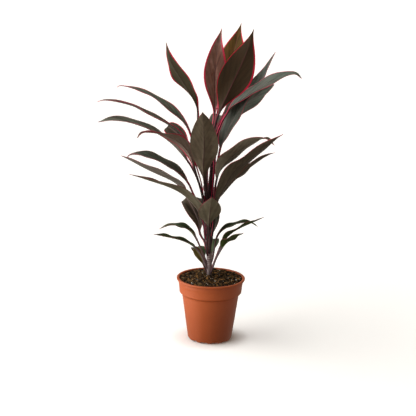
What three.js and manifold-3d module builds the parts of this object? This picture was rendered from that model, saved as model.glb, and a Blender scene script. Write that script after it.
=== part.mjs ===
// Potted purple ti plant: a leafy cane in soil, in a plain plastic nursery pot.
// Millimetres, +Z up. The origin is the middle of the flat disc under the pot, on the surface it stands on.
import * as THREE from "three";
import { mergeVertices } from "three/addons/utils/BufferGeometryUtils.js";
import Module from "manifold-3d";

// Pot. Its corners are lists of steps from a named edge: how far sideways, and how far down or up.
const POT_HEIGHT = 111;
const POT_SIDES = 56;
const WALL = 1.2;
const LIP_RADIUS = 60;
const LIP_DEPTH = 3;
const LIP_SLOPE = 1;
const LIP_ROUND = 0.7;
const COLLAR_TOP_RADIUS = 56.6;
const COLLAR_LOW_RADIUS = 54.4;
const COLLAR_LOW = 86;
const COLLAR_EDGE = [[0.5, 0.8], [3.4, 2.4], [4.5, 4.5]];
const COLLAR_EDGE_INSIDE = [[0, -0.4], [3, 1.3], [4.5, 4.3]];
const BODY_TOP_RADIUS = 49.5;
const BODY_TOP = 79;
const BODY_LOW_RADIUS = 39.7;
const BODY_LOW = 8.6;
const FOOT_OUTER = 34.5;
const FOOT_INNER = 31;
const DISC_RADIUS = 22;
const DISC_SLOPE = 1.2;
const DISC_STEP_INSIDE = 0.8;
const CORNER = [[0, 0], [2.2, 1.2], [4, 3.6], [4.9, 6]];
const CORNER_INSIDE = [[2.4, 1.2], [0.6, 0]];
const GROOVE_HEIGHT = 2.4;
const FLOOR_THICKNESS = 1.5;
const DRAIN_COUNT = 6;
const DRAIN_RADIUS = 3;
const DRAIN_SIDES = 12;
const NOTCH_COUNT = 12;
const NOTCH_WIDTH = 10;
const NOTCH_REACH = 12;
const NOTCH_HEIGHT = 3;

// Soil
const SOIL_GAP = 0.3;
const SOIL_EDGE = 108.2;
const SOIL_MOUND = 3.8;
const SOIL_SPREAD = 30;
const SOIL_RINGS = 10;
const SOIL_SIDES = 40;

// Cane: its axis leans a little, from its foot in the soil to its growing tip
const CANE_FOOT = new THREE.Vector3(-2, 6, 100);
const CANE_LEAN = new THREE.Vector3(-7, -1.5, 155);
const CANE_LOW = 92;
const CANE_TIP = 264;
const CANE_FOOT_RADIUS = 4.6;
const CANE_TAPER = 1.6;
const CANE_SIDES = 12;
const SCAR_SPACING = 7;
const SCAR_WIDTH = 0.8;
const SCAR_DEPTH = 0.35;
const TIP_LENGTH = 3;
const TIP_SHARE = 0.6;
const CLEARANCE = 0.3;

// Leaf: steps along and across, with the petiole's steps closest together at the cane
const STALK_STEPS = 4;
const STALK_BUNCHING = 1.6;
const BLADE_STEPS = 10;
const ACROSS = [-1, -0.5, 0, 0.5, 1];

// The petiole is a channel that widens a little at the cane and again below the blade, and folds up deeper
// towards the blade
const STALK_HALF_WIDTH = 1.9;
const STALK_FLARE_AT_CANE = 0.4;
const STALK_FLARE_AT_BLADE = 0.5;
const STALK_FOLD_AT_CANE = 18;
const STALK_FOLD_AT_BLADE = 45;
const TIP_HALF_WIDTH = 0.5;
const TIP_FOLD = 1.2;

// Thickness at the midrib and at the margins, and how far the upper face lies above the leaf's middle
const STALK_THICKNESS = 1.7;
const RIB_THICKNESS = 1.1;
const BLADE_THICKNESS = 0.6;
const STALK_MARGIN = 0.8;
const UPPER_FACE = 0.3;

// A blade is crowned across each half, by the leaf's age, and its margins rise and fall in waves
const CROWN = [0.26, 0.12, 0.12];
const WAVE_HEIGHT = 1.6;
const WAVES = 2.2;

// How a leaf's width grows and shrinks along its blade, by age: young crown leaves are broadest low down
const OUTLINES = [
  [1.45, 1.7],
  [1.05, 1.2],
  [1.05, 1.2],
];

// The leaves, from the crown down. root is the height at which a leaf leaves the cane, and turn the
// direction that it leaves in, in degrees from +X. rib is its midrib: distance out from the cane, height,
// and, where it isn't 0, distance to the left of that direction. stalk is the length of its petiole, and
// width and fold are its blade's, fold in degrees. roll turns the blade about its midrib, in degrees at its
// base and at its tip. wave is 1 where the margins wave. age is 0 for a young leaf of the crown, 1 for a
// full-grown one and 2 for an old one.
const LEAVES = [
  { name: "crown_left", root: 252, turn: 110, stalk: 146, width: 43, fold: 18, roll: [0, -8],
    wave: 0, age: 0, rib: [[4.2, 262, -0.4], [6.3, 290, -0.4], [10, 330, 0.6], [16, 379, -14],
      [32, 470, -21.5], [40, 510, -28], [50, 539, -39]] },
  { name: "crown_back", root: 257, turn: 58, stalk: 153, width: 64, fold: 14, roll: [0, 0],
    wave: 0, age: 0, rib: [[4.2, 267, -1.8], [6, 290, -2], [13, 335, -1], [34, 405, 1], [54, 448, -1],
      [106, 545, 3]] },
  { name: "crown_front", root: 247, turn: 280, stalk: 160, width: 58, fold: 12, roll: [0, 0],
    wave: 0, age: 0, rib: [[4.2, 256, 0.6], [6.5, 280, 2.4], [12, 330, 5], [20, 386, 8], [50, 508, 51],
      [54, 548, 62]] },
  { name: "upper_left_tall", root: 240, turn: 222, stalk: 175, width: 42, fold: 14, roll: [0, 8],
    wave: 1, age: 0, rib: [[4.5, 250], [8, 290], [13, 335], [26, 392], [27, 412], [90, 501], [97, 526]] },
  { name: "upper_right_tall", root: 238, turn: 30, stalk: 160, width: 32, fold: 24, roll: [8, -6],
    wave: 1, age: 1, rib: [[4.5, 248, -0.5], [8.4, 290, -0.4], [12, 330, -0.6], [13, 369], [54, 419],
      [101, 452], [130, 499]] },
  { name: "upper_back", root: 234, turn: 92, stalk: 102, width: 40, fold: 20, roll: [0, 0],
    wave: 0, age: 1, rib: [[4.6, 243, -1.5], [7.4, 272, -1.9], [24, 332, -11], [44, 360, -16],
      [112, 378, -26], [150, 358, -27]] },
  { name: "front", root: 229, turn: 266, stalk: 64, width: 47, fold: 10, roll: [0, 0],
    wave: 0, age: 1, rib: [[4.8, 238, -1.2], [8.4, 260, -0.8], [20, 289, -5], [40, 317, -6],
      [80, 353, -2], [150, 412, 1], [180, 432, 2]] },
  { name: "upper_left", root: 227, turn: 162, stalk: 148, width: 22, fold: 18, roll: [-26, 10],
    wave: 1, age: 1, rib: [[4.4, 236, -0.7], [5.4, 257, -1.1], [9.6, 290, -0.6], [32, 355], [37, 369],
      [61, 396], [109, 425], [164, 437], [170, 434]] },
  { name: "upper_right", root: 225, turn: 346, stalk: 184, width: 40, fold: 16, roll: [20, 24],
    wave: 1, age: 1, rib: [[4.7, 236], [9.5, 290], [11, 355], [40, 414], [143, 475], [156, 468]] },
  { name: "upper_right_back", root: 214, turn: 50, stalk: 151, width: 42, fold: 18, roll: [20, 16],
    wave: 1, age: 1, rib: [[4.8, 224, -0.5], [6.8, 242, 0.8], [8.4, 257, 0.4], [14, 295], [25, 362],
      [60, 390], [137, 417, 4], [154, 426, -1], [169, 432, -1], [184, 432, 7]] },
  { name: "left_back", root: 212, turn: 130, stalk: 135, width: 28, fold: 12, roll: [-50, -46],
    wave: 0, age: 1, rib: [[4.9, 222, -0.5], [7.2, 245, -1.1], [9, 257, -1.1], [15, 290], [51, 331, 3],
      [74, 347, 2], [92, 355, 2], [111, 359], [125, 358, -6], [138, 353, -18]] },
  { name: "left_high", root: 206, turn: 182, stalk: 149, width: 28, fold: 18, roll: [0, 2],
    wave: 1, age: 1, rib: [[4.6, 216, 0.3], [6.3, 235, 0.8], [8.8, 257, 1.1], [15.9, 290, 0.4], [48, 362],
      [111, 401], [133, 412], [180, 420], [192, 417]] },
  { name: "right_high", root: 201, turn: 20, stalk: 141, width: 40, fold: 20, roll: [18, 10],
    wave: 1, age: 1, rib: [[4.9, 211, -0.8], [7.6, 237, -1.6], [9.6, 257, -1.2], [14.4, 290],
      [19, 338, -2], [46, 394, 0], [65, 418, 2], [78, 431, 5]] },
  { name: "left_front", root: 196, turn: 228, stalk: 122, width: 32, fold: 16, roll: [36, -8],
    wave: 1, age: 1, rib: [[4.8, 206, 1], [7.6, 230, 1.2], [10, 245, 0.6], [34, 300], [48, 333],
      [67, 354], [91, 369], [119, 379], [145, 385], [165, 386], [174, 380]] },
  { name: "back_high", root: 194, turn: 106, stalk: 127, width: 42, fold: 20, roll: [0, 0],
    wave: 0, age: 1, rib: [[5.1, 204], [9, 230], [13, 257], [30, 317, -4], [56, 344, -9], [94, 358, -19],
      [136, 354, -31], [172, 328, -42]] },
  { name: "middle_right", root: 190, turn: 328, stalk: 101, width: 45, fold: 16, roll: [-22, -8],
    wave: 1, age: 1, rib: [[5.1, 200], [9.4, 240], [24, 309], [106, 369], [126, 360]] },
  { name: "left_low", root: 181, turn: 196, stalk: 148, width: 40, fold: 18, roll: [10, -20],
    wave: 1, age: 1, rib: [[4.9, 191, 0.9], [8.4, 216, 2], [11, 245, 2], [22, 287], [41, 321], [75, 357],
      [120, 382], [168, 394], [194, 391]] },
  { name: "middle_back", root: 178, turn: 80, stalk: 61, width: 40, fold: 18, roll: [0, 0],
    wave: 0, age: 1, rib: [[5.2, 188], [8, 212], [20, 235, -1], [44, 251, 1], [78, 254, 5],
      [112, 237, 10]] },
  { name: "middle_right_front", root: 175, turn: 354, stalk: 91, width: 46, fold: 14, roll: [-24, -14],
    wave: 1, age: 1, rib: [[5.3, 186], [10.5, 222], [9, 244], [22, 260], [39, 282], [61, 303], [82, 320],
      [100, 332], [111, 337]] },
  { name: "middle_left", root: 171, turn: 166, stalk: 117, width: 40, fold: 20, roll: [0, -5],
    wave: 1, age: 1, rib: [[4.8, 181, -0.9], [7, 200, -1.5], [10.5, 222, -0.8], [30, 259], [41, 279],
      [73, 303], [118, 319], [144, 318], [150, 312]] },
  { name: "middle_back_left", root: 165, turn: 112, stalk: 58, width: 36, fold: 18, roll: [0, 0],
    wave: 0, age: 1, rib: [[5.3, 175], [9.5, 198], [20, 219], [44, 233, -6], [78, 233, -15],
      [108, 214, -25]] },
  { name: "middle_right_low", root: 163, turn: 318, stalk: 78, width: 40, fold: 16, roll: [-16, -6],
    wave: 1, age: 1, rib: [[5.3, 173], [10, 202], [12, 228], [23, 260], [33, 277], [44, 294], [63, 317],
      [91, 337], [124, 363], [145, 378], [157, 386]] },
  { name: "middle_left_low", root: 158, turn: 187, stalk: 114, width: 44, fold: 20, roll: [18, 14],
    wave: 1, age: 1, rib: [[4.9, 168, 0.6], [7.7, 185, 1.2], [11.2, 208, 1], [29, 246], [57, 278],
      [104, 302], [154, 328]] },
  { name: "middle_left_back", root: 151, turn: 148, stalk: 45, width: 27, fold: 10, roll: [-52, -42],
    wave: 0, age: 1, rib: [[6, 160], [9.5, 172], [19, 185], [24, 206, -2], [36, 225, -4], [48, 238, -7],
      [59, 241, -15], [73, 233, -38]] },
  { name: "middle_front", root: 150, turn: 282, stalk: 64, width: 40, fold: 12, roll: [0, 0],
    wave: 0, age: 1, rib: [[5.4, 160], [10, 180], [24, 209, -6], [80, 273, -14]] },
  { name: "low_back", root: 147, turn: 82, stalk: 33, width: 34, fold: 18, roll: [0, 0],
    wave: 0, age: 1, rib: [[5.4, 157], [32, 201, 3], [54, 211, 5], [76, 195, 5]] },
  { name: "middle_left_front", root: 145, turn: 216, stalk: 62, width: 44, fold: 18, roll: [12, 0],
    wave: 1, age: 1, rib: [[6, 155, 1.2], [8, 189, 6], [11, 204, 8], [23, 227, 8], [38, 246, 9],
      [53, 261, 8], [71, 274, 7], [99, 288, 7], [133, 301, 4], [165, 313]] },
  { name: "low_left", root: 131, turn: 168, stalk: 56, width: 26, fold: 18, roll: [0, 0],
    wave: 1, age: 2, rib: [[5.5, 139], [35, 191], [66, 199], [91, 190]] },
  { name: "low_right", root: 130, turn: 20, stalk: 60, width: 21, fold: 18, roll: [0, 0],
    wave: 1, age: 2, rib: [[5.5, 140], [17, 187], [46, 202], [75, 203], [90, 194]] },
  { name: "low_right_front", root: 121, turn: 345, stalk: 57, width: 32, fold: 14, roll: [-14, -10],
    wave: 1, age: 2, rib: [[5.6, 131], [32, 187], [95, 226]] },
  { name: "low_left_front", root: 120, turn: 198, stalk: 54, width: 26, fold: 18, roll: [0, 0],
    wave: 1, age: 2, rib: [[5.6, 129], [18, 155], [40, 175], [102, 194]] },
  { name: "low_back_right", root: 118, turn: 68, stalk: 33, width: 24, fold: 14, roll: [0, 0],
    wave: 0, age: 2, rib: [[5.6, 127], [16, 147, 3], [52, 164, 15], [72, 151, 22]] },
  { name: "low_back_left", root: 115, turn: 120, stalk: 33, width: 26, fold: 14, roll: [0, 0],
    wave: 0, age: 2, rib: [[5.7, 123], [33, 150], [55, 148], [58, 140]] },
  { name: "low_green", root: 113, turn: 314, stalk: 62, width: 31, fold: 14, roll: [-6, 0],
    wave: 1, age: 2, rib: [[5.7, 122], [16, 147], [42, 182], [82, 207]] },
  { name: "lowest_left", root: 112, turn: 156, stalk: 24, width: 15, fold: 8, roll: [-58, -46],
    wave: 0, age: 2, rib: [[5.8, 118], [12, 132], [18, 145], [25, 152, -1], [29, 157, -2],
      [33, 155, -9]] },
];

const POT_MATERIAL = new THREE.MeshStandardMaterial({ color: 0xa85430, roughness: 0.55, metalness: 0 });
const SOIL_MATERIAL = new THREE.MeshStandardMaterial({ color: 0x2e2118, roughness: 0.95, metalness: 0 });
const CANE_MATERIAL = new THREE.MeshStandardMaterial({ color: 0x6d5f4e, roughness: 0.8, metalness: 0 });
const LEAF_MATERIALS = [0x5a2a32, 0x4a3b36, 0x434a30].map(
  (color) => new THREE.MeshStandardMaterial({ color, roughness: 0.45, metalness: 0 }),
);

const wasm = await Module();
wasm.setup();
const { clamp, lerp, smoothstep, degToRad } = THREE.MathUtils;

// A closed geometry as a solid that can be cut and joined
function solidOf(geometry) {
  const bare = geometry.clone();
  bare.deleteAttribute("normal");
  bare.deleteAttribute("uv");
  const merged = mergeVertices(bare, 1e-4);
  return new wasm.Manifold(
    new wasm.Mesh({
      numProp: 3,
      vertProperties: new Float32Array(merged.attributes.position.array),
      triVerts: new Uint32Array(merged.index.array),
    }),
  );
}

function geometryOf(solid) {
  const mesh = solid.getMesh();
  const geometry = new THREE.BufferGeometry();
  geometry.setAttribute("position", new THREE.BufferAttribute(mesh.vertProperties, mesh.numProp));
  geometry.setIndex(new THREE.BufferAttribute(mesh.triVerts, 1));
  geometry.computeVertexNormals();
  return geometry;
}

// A closed body from rings of points, each anticlockwise as seen from the far end, capped at both ends
function loft(rings) {
  const points = rings.flat();
  const sides = rings[0].length;
  const faces = [];
  for (let ring = 0; ring < rings.length - 1; ring += 1) {
    for (let side = 0; side < sides; side += 1) {
      const a = ring * sides + side;
      const b = ring * sides + ((side + 1) % sides);
      faces.push(a, b, b + sides, a, b + sides, a + sides);
    }
  }
  [rings[0], rings[rings.length - 1]].forEach((ring, end) => {
    const first = end * (rings.length - 1) * sides;
    const middle = ring.reduce((sum, point) => sum.add(point), new THREE.Vector3()).divideScalar(sides);
    for (let side = 0; side < sides; side += 1) {
      const pair = [first + side, first + ((side + 1) % sides)];
      faces.push(points.length, ...(end ? pair : pair.reverse()));
    }
    points.push(middle);
  });
  return surface(points, faces);
}

function surface(points, faces) {
  const geometry = new THREE.BufferGeometry().setFromPoints(points);
  geometry.setIndex(faces);
  geometry.computeVertexNormals();
  return geometry;
}

function caneCentre(height) {
  const share = (height - CANE_FOOT.z) / CANE_LEAN.z;
  return new THREE.Vector3(CANE_FOOT.x + CANE_LEAN.x * share, CANE_FOOT.y + CANE_LEAN.y * share, height);
}

function caneRadius(height) {
  return CANE_FOOT_RADIUS - CANE_TAPER * clamp((height - CANE_FOOT.z) / (CANE_TIP - CANE_FOOT.z), 0, 1);
}

function caneRing(height, radius) {
  return Array.from({ length: CANE_SIDES }, (_, side) => {
    const angle = (2 * Math.PI * side) / CANE_SIDES;
    return caneCentre(height).add(new THREE.Vector3(radius * Math.cos(angle), radius * Math.sin(angle), 0));
  });
}

// The cane, ringed by the scars of fallen leaves, with a blunt growing tip
function caneGeometry() {
  const rings = [caneRing(CANE_LOW, caneRadius(CANE_LOW))];
  for (let height = CANE_LOW + SCAR_SPACING; height < CANE_TIP - SCAR_SPACING; height += SCAR_SPACING) {
    rings.push(caneRing(height, caneRadius(height)));
    rings.push(caneRing(height + SCAR_WIDTH, caneRadius(height) - SCAR_DEPTH));
  }
  rings.push(caneRing(CANE_TIP - TIP_LENGTH, caneRadius(CANE_TIP)));
  rings.push(caneRing(CANE_TIP, caneRadius(CANE_TIP) * TIP_SHARE));
  return loft(rings);
}

// The space that the cane takes, with room round it, which every leaf's base is cut to
function caneSpace() {
  const heights = [CANE_LOW, CANE_FOOT.z, CANE_TIP + CLEARANCE];
  return solidOf(loft(heights.map((height) => caneRing(height, caneRadius(height) + CLEARANCE))));
}

// A blade's share of its full width at a place along it, from 0 at its base to 1 at its tip
function outline(along, age) {
  if (along <= 0 || along >= 1) return 0;
  const [rise, fall] = OUTLINES[age];
  const widest = rise / (rise + fall);
  return (along / widest) ** rise * ((1 - along) / (1 - widest)) ** fall;
}

// The two rows of points, on the upper and on the lower face, across a leaf at a place on its midrib
function leafSection(leaf, point, along, stalkShare, tangent, left) {
  const across = left.clone().addScaledVector(tangent, -left.dot(tangent)).normalize();
  const upward = new THREE.Vector3().crossVectors(tangent, across);
  const roll = degToRad(lerp(leaf.roll[0], leaf.roll[1], along)) * stalkShare ** 2;
  const side = across.clone().multiplyScalar(Math.cos(roll)).addScaledVector(upward, Math.sin(roll));
  const normal = upward.multiplyScalar(Math.cos(roll)).addScaledVector(across, -Math.sin(roll));

  const spread = outline(along, leaf.age);
  const flareAtCane = STALK_FLARE_AT_CANE * (1 - stalkShare) ** 2;
  const flareAtBlade = STALK_FLARE_AT_BLADE * smoothstep(stalkShare, 0.6, 1);
  const narrow = lerp(STALK_HALF_WIDTH + flareAtCane + flareAtBlade, TIP_HALF_WIDTH, along);
  const halfWidth = narrow + (leaf.width / 2 - narrow) * spread;
  const stalkFold = lerp(STALK_FOLD_AT_CANE, STALK_FOLD_AT_BLADE, smoothstep(stalkShare, 0.5, 1));
  const bladeFold = leaf.fold * (spread + TIP_FOLD * along * (1 - spread));
  const fold = degToRad(stalkFold * (1 - spread) * (1 - along) + bladeFold);
  const middle =
    along < 0.5
      ? lerp(STALK_THICKNESS, RIB_THICKNESS, smoothstep(along, 0, 0.5))
      : lerp(RIB_THICKNESS, BLADE_THICKNESS, smoothstep(along, 0.5, 1));
  const margin = along > 0 ? BLADE_THICKNESS : STALK_MARGIN;
  const wave = leaf.wave * WAVE_HEIGHT * spread * Math.sin(2 * Math.PI * WAVES * along + leaf.root);

  const upper = [];
  const lower = [];
  ACROSS.forEach((place) => {
    const reach = Math.abs(place);
    const lift = reach * halfWidth * Math.sin(fold) - CROWN[leaf.age] * halfWidth * spread * reach ** 2;
    const here = point.clone().addScaledVector(side, place * halfWidth * Math.cos(fold));
    here.addScaledVector(normal, lift + wave * place * reach);
    const thickness = lerp(middle, margin, reach);
    const facing = place ? normal.clone().multiplyScalar(Math.cos(fold)) : normal.clone();
    facing.addScaledVector(side, -Math.sin(fold) * Math.sign(place));
    upper.push(here.clone().addScaledVector(facing, UPPER_FACE));
    lower.push(here.clone().addScaledVector(facing, UPPER_FACE - thickness));
  });
  return [upper, lower];
}

// A closed leaf: its two faces are split into the same triangles, and its edges are closed between them
function wholeLeaf(leaf) {
  const angle = degToRad(leaf.turn);
  const out = new THREE.Vector3(Math.cos(angle), Math.sin(angle), 0);
  const left = new THREE.Vector3(-Math.sin(angle), Math.cos(angle), 0);
  const root = caneCentre(leaf.root);
  const points = [[1, leaf.root], ...leaf.rib].map(([distance, height, aside = 0]) =>
    new THREE.Vector3(root.x, root.y, height).addScaledVector(out, distance).addScaledVector(left, aside),
  );
  const rib = new THREE.CatmullRomCurve3(points, false, "centripetal");
  rib.arcLengthDivisions = 240;
  const length = rib.getLength();

  const stops = [];
  for (let step = 0; step < STALK_STEPS; step += 1) {
    stops.push(leaf.stalk * (step / STALK_STEPS) ** STALK_BUNCHING);
  }
  for (let step = 0; step <= BLADE_STEPS; step += 1) {
    stops.push(lerp(leaf.stalk, length, step / BLADE_STEPS));
  }
  const sections = stops.map((stop) => {
    const share = Math.min(1, stop / length);
    const along = Math.max(0, (stop - leaf.stalk) / (length - leaf.stalk));
    const stalkShare = Math.min(1, stop / leaf.stalk);
    return leafSection(leaf, rib.getPointAt(share), along, stalkShare, rib.getTangentAt(share), left);
  });

  const columns = ACROSS.length;
  const lowerStart = sections.length * columns;
  const upperPoints = sections.flatMap(([upper]) => upper);
  const lowerPoints = sections.flatMap(([, lower]) => lower);
  const faces = [];
  const last = columns - 1;
  for (let row = 0; row < sections.length - 1; row += 1) {
    for (let column = 0; column < last; column += 1) {
      const a = row * columns + column;
      const b = a + columns;
      faces.push(a, b, b + 1, a, b + 1, a + 1);
      faces.push(lowerStart + a, lowerStart + b + 1, lowerStart + b);
      faces.push(lowerStart + a, lowerStart + a + 1, lowerStart + b + 1);
    }
    const near = row * columns;
    const far = near + last;
    faces.push(near, lowerStart + near, lowerStart + near + columns);
    faces.push(near, lowerStart + near + columns, near + columns);
    faces.push(far, lowerStart + far + columns, lowerStart + far);
    faces.push(far, far + columns, lowerStart + far + columns);
  }
  for (let column = 0; column < last; column += 1) {
    const under = lowerStart + column;
    const end = lowerStart - columns + column;
    const endUnder = lowerStart + end;
    faces.push(column, column + 1, under + 1, column, under + 1, under);
    faces.push(end, endUnder + 1, end + 1, end, endUnder, endUnder + 1);
  }
  return surface([...upperPoints, ...lowerPoints], faces);
}

// A leaf cut to the cane that it clasps
function leafGeometry(leaf, space) {
  const bodies = solidOf(wholeLeaf(leaf)).subtract(space).decompose();
  return geometryOf(bodies.reduce((best, body) => (body.volume() > best.volume() ? body : best)));
}

// The inside of the pot's wall and floor, from the collar down to the floor, with a gap left inside it
function potLining(gap) {
  const floor = GROOVE_HEIGHT + FLOOR_THICKNESS + gap;
  return [
    [COLLAR_TOP_RADIUS - WALL - gap, POT_HEIGHT - LIP_DEPTH - LIP_SLOPE],
    ...COLLAR_EDGE_INSIDE.map(([inward, down]) => [
      COLLAR_LOW_RADIUS - WALL - gap - inward,
      COLLAR_LOW - down,
    ]),
    [BODY_TOP_RADIUS - WALL - gap, BODY_TOP],
    [BODY_LOW_RADIUS - WALL - gap, BODY_LOW],
    ...CORNER_INSIDE.map(([outward, up]) => [FOOT_OUTER + outward - gap, floor + up]),
    [DISC_RADIUS + DISC_SLOPE - DISC_STEP_INSIDE, floor],
    [DISC_RADIUS - DISC_STEP_INSIDE - gap, FLOOR_THICKNESS + gap],
  ];
}

// The pot's outline, from the middle of its underside up to its lip and back down its inside
function potProfile() {
  const outside = [
    [0, 0],
    [DISC_RADIUS, 0],
    [DISC_RADIUS + DISC_SLOPE, GROOVE_HEIGHT],
    [FOOT_INNER - DISC_SLOPE / 2, GROOVE_HEIGHT],
    [FOOT_INNER, 0],
    ...CORNER.map(([outward, up]) => [FOOT_OUTER + outward, up]),
    [BODY_LOW_RADIUS, BODY_LOW],
    [BODY_TOP_RADIUS, BODY_TOP],
    ...COLLAR_EDGE.map(([inward, down]) => [COLLAR_LOW_RADIUS - inward, COLLAR_LOW - down]).reverse(),
    [COLLAR_LOW_RADIUS, COLLAR_LOW],
    [COLLAR_TOP_RADIUS, POT_HEIGHT - LIP_DEPTH - LIP_SLOPE],
    [LIP_RADIUS - LIP_ROUND, POT_HEIGHT - LIP_DEPTH],
    [LIP_RADIUS, POT_HEIGHT - LIP_DEPTH + LIP_ROUND],
    [LIP_RADIUS, POT_HEIGHT - LIP_ROUND],
    [LIP_RADIUS - LIP_ROUND, POT_HEIGHT],
    [COLLAR_TOP_RADIUS - WALL + LIP_ROUND, POT_HEIGHT],
    [COLLAR_TOP_RADIUS - WALL, POT_HEIGHT - LIP_ROUND],
  ];
  const profile = [...outside, ...potLining(0), [0, FLOOR_THICKNESS]];
  return profile.map(([radius, height]) => new THREE.Vector2(radius, height));
}

// The pot, with drain holes through its groove and notches across its foot ring
function potGeometry() {
  let pot = solidOf(new THREE.LatheGeometry(potProfile(), POT_SIDES).rotateX(Math.PI / 2));
  for (let hole = 0; hole < DRAIN_COUNT; hole += 1) {
    const drain = new THREE.CylinderGeometry(DRAIN_RADIUS, DRAIN_RADIUS, 4 * GROOVE_HEIGHT, DRAIN_SIDES);
    drain.rotateX(Math.PI / 2).translate((DISC_RADIUS + FOOT_INNER) / 2, 0, GROOVE_HEIGHT);
    drain.rotateZ((2 * Math.PI * hole) / DRAIN_COUNT);
    pot = pot.subtract(solidOf(drain));
  }
  for (let notch = 0; notch < NOTCH_COUNT; notch += 1) {
    const slot = new THREE.BoxGeometry(NOTCH_REACH, NOTCH_WIDTH, 2 * NOTCH_HEIGHT);
    slot.translate(FOOT_OUTER, 0, 0).rotateZ((2 * Math.PI * (notch + 0.5)) / NOTCH_COUNT);
    pot = pot.subtract(solidOf(slot));
  }
  return geometryOf(pot);
}

// The height of the soil's surface: a low mound round the cane, with lumps
function soilHeight(x, y) {
  const distance = Math.hypot(x - CANE_FOOT.x, y - CANE_FOOT.y);
  const mound = SOIL_MOUND * Math.exp(-((distance / SOIL_SPREAD) ** 2));
  const lumps = 0.7 * Math.sin(x / 5.3 + 1) * Math.cos(y / 4.7) + 0.5 * Math.sin(x / 2.9 - y / 3.7 + 2);
  return SOIL_EDGE + mound + lumps;
}

function soilRing(radius, height) {
  return Array.from({ length: SOIL_SIDES }, (_, side) => {
    const angle = (2 * Math.PI * side) / SOIL_SIDES;
    const x = radius * Math.cos(angle);
    const y = radius * Math.sin(angle);
    return new THREE.Vector3(x, y, height ?? soilHeight(x, y));
  });
}

// The soil fills the pot and has a plain hole for the foot of the cane
function soilGeometry() {
  const lining = potLining(SOIL_GAP).reverse();
  const [edgeRadius] = lining.pop();
  const rings = lining.map(([radius, height]) => soilRing(radius, height));
  for (let ring = 0; ring < SOIL_RINGS; ring += 1) {
    rings.push(soilRing(edgeRadius * (1 - ring / SOIL_RINGS)));
  }
  const depths = [CANE_LOW - CLEARANCE, CANE_FOOT.z, SOIL_EDGE + 2 * SOIL_MOUND];
  const hole = loft(depths.map((height) => caneRing(height, CANE_FOOT_RADIUS + CLEARANCE)));
  return geometryOf(solidOf(loft(rings)).subtract(solidOf(hole)));
}

function named(name, geometry, material) {
  const mesh = new THREE.Mesh(geometry, material);
  mesh.name = name;
  return mesh;
}

const holder = new THREE.Group();
holder.add(named("pot", potGeometry(), POT_MATERIAL));
holder.add(named("soil", soilGeometry(), SOIL_MATERIAL));

const plant = new THREE.Group();
plant.add(named("cane", caneGeometry(), CANE_MATERIAL));
const space = caneSpace();
for (const leaf of LEAVES) {
  plant.add(named(`leaf_${leaf.name}`, leafGeometry(leaf, space), LEAF_MATERIALS[leaf.age]));
}

const tiPlant = new THREE.Group();
tiPlant.add(holder, plant);
export default tiPlant;
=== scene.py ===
# Potted purple ti plant: a leafy cane in soil, in a plain plastic nursery pot
import math
import random

import bmesh
import bpy
from mathutils import Matrix, Vector, noise


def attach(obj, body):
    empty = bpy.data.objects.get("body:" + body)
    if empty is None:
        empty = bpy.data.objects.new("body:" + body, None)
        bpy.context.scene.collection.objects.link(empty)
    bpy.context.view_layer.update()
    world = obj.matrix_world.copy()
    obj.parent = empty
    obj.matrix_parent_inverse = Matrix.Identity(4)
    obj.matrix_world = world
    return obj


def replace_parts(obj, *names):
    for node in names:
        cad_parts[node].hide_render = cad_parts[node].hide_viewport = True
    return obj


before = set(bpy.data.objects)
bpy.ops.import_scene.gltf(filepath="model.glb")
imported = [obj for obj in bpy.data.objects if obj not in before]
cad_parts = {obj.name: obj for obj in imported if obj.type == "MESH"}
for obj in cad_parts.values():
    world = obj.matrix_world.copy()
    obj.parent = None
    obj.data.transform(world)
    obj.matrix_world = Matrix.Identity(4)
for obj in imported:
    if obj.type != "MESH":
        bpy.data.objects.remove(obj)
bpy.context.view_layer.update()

MM = 0.001

# Surroundings, in m: a table in a white tent, lit by a wide window on the left, and a camera 2 m in front
STAGE_RADIUS = 15
WINDOW_SIDE = Vector((-0.93, -0.12, 0.34))
WINDOW_WIDTH = math.radians(80)
CAMERA_PLACE = (-0.0073, -2, 0.736)
CAMERA_DOWN = math.radians(14.04)
CAMERA_ROLL = math.radians(1.12)
CAMERA_LENS = 103.2

# The finish of the table and of the cloth: dull, and glowing white
GLOWING = {"Roughness": 1, "Specular IOR Level": 0, "Emission Color": (1, 1, 1, 1)}

# How brightly the room shines from each side, in linear red, green, blue and alpha
LEFT_WALL_LIGHT = (0.62, 0.62, 0.62, 1)
RIGHT_WALL_LIGHT = (0.22, 0.18, 0.13, 1)
TABLE_LIGHT = (0.42, 0.38, 0.33, 1)
LIGHT_BELOW_POT = (0.07, 0.055, 0.04, 1)

# Pot, in mm
POT_HEIGHT = 111
LIP_RADIUS = 60
LIP_DEPTH = 3
COLLAR_TOP_RADIUS = 56.6
COLLAR_LOW_RADIUS = 54.4
COLLAR_LOW = 86
BODY_TOP_RADIUS = 49.5
BODY_TOP = 79
CORNER_RADIUS = 38.6
FOOT_OUTER = 34.5
FOOT_INNER = 31
DISC_RADIUS = 22
GROOVE_HEIGHT = 2.4
WALL = 1.2
FLOOR_THICKNESS = 1.5
POT_STEPS = 144
DRAIN_COUNT = 6
DRAIN_RADIUS = 3
DRAIN_DEPTH = 10
NOTCH_COUNT = 12
NOTCH_WIDTH = 10
NOTCH_HEIGHT = 3

# Soil, in mm
SOIL_GAP = 0.3
SOIL_EDGE = 108.2
SOIL_MOUND = 3.8
SOIL_SPREAD = 30
SOIL_RADIUS = 55.1
SOIL_RINGS = 64
SOIL_STEPS = 192
BARK_CHIPS = 1500
PERLITE_GRAINS = 90
FIBRES = 130
FIBRE_LENGTHS = (5, 13)
FIBRE_RADII = (0.15, 0.35)
FIBRE_STEPS = 5
FIBRE_SIDES = 4
FIBRE_ARCH = 1.4

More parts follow.
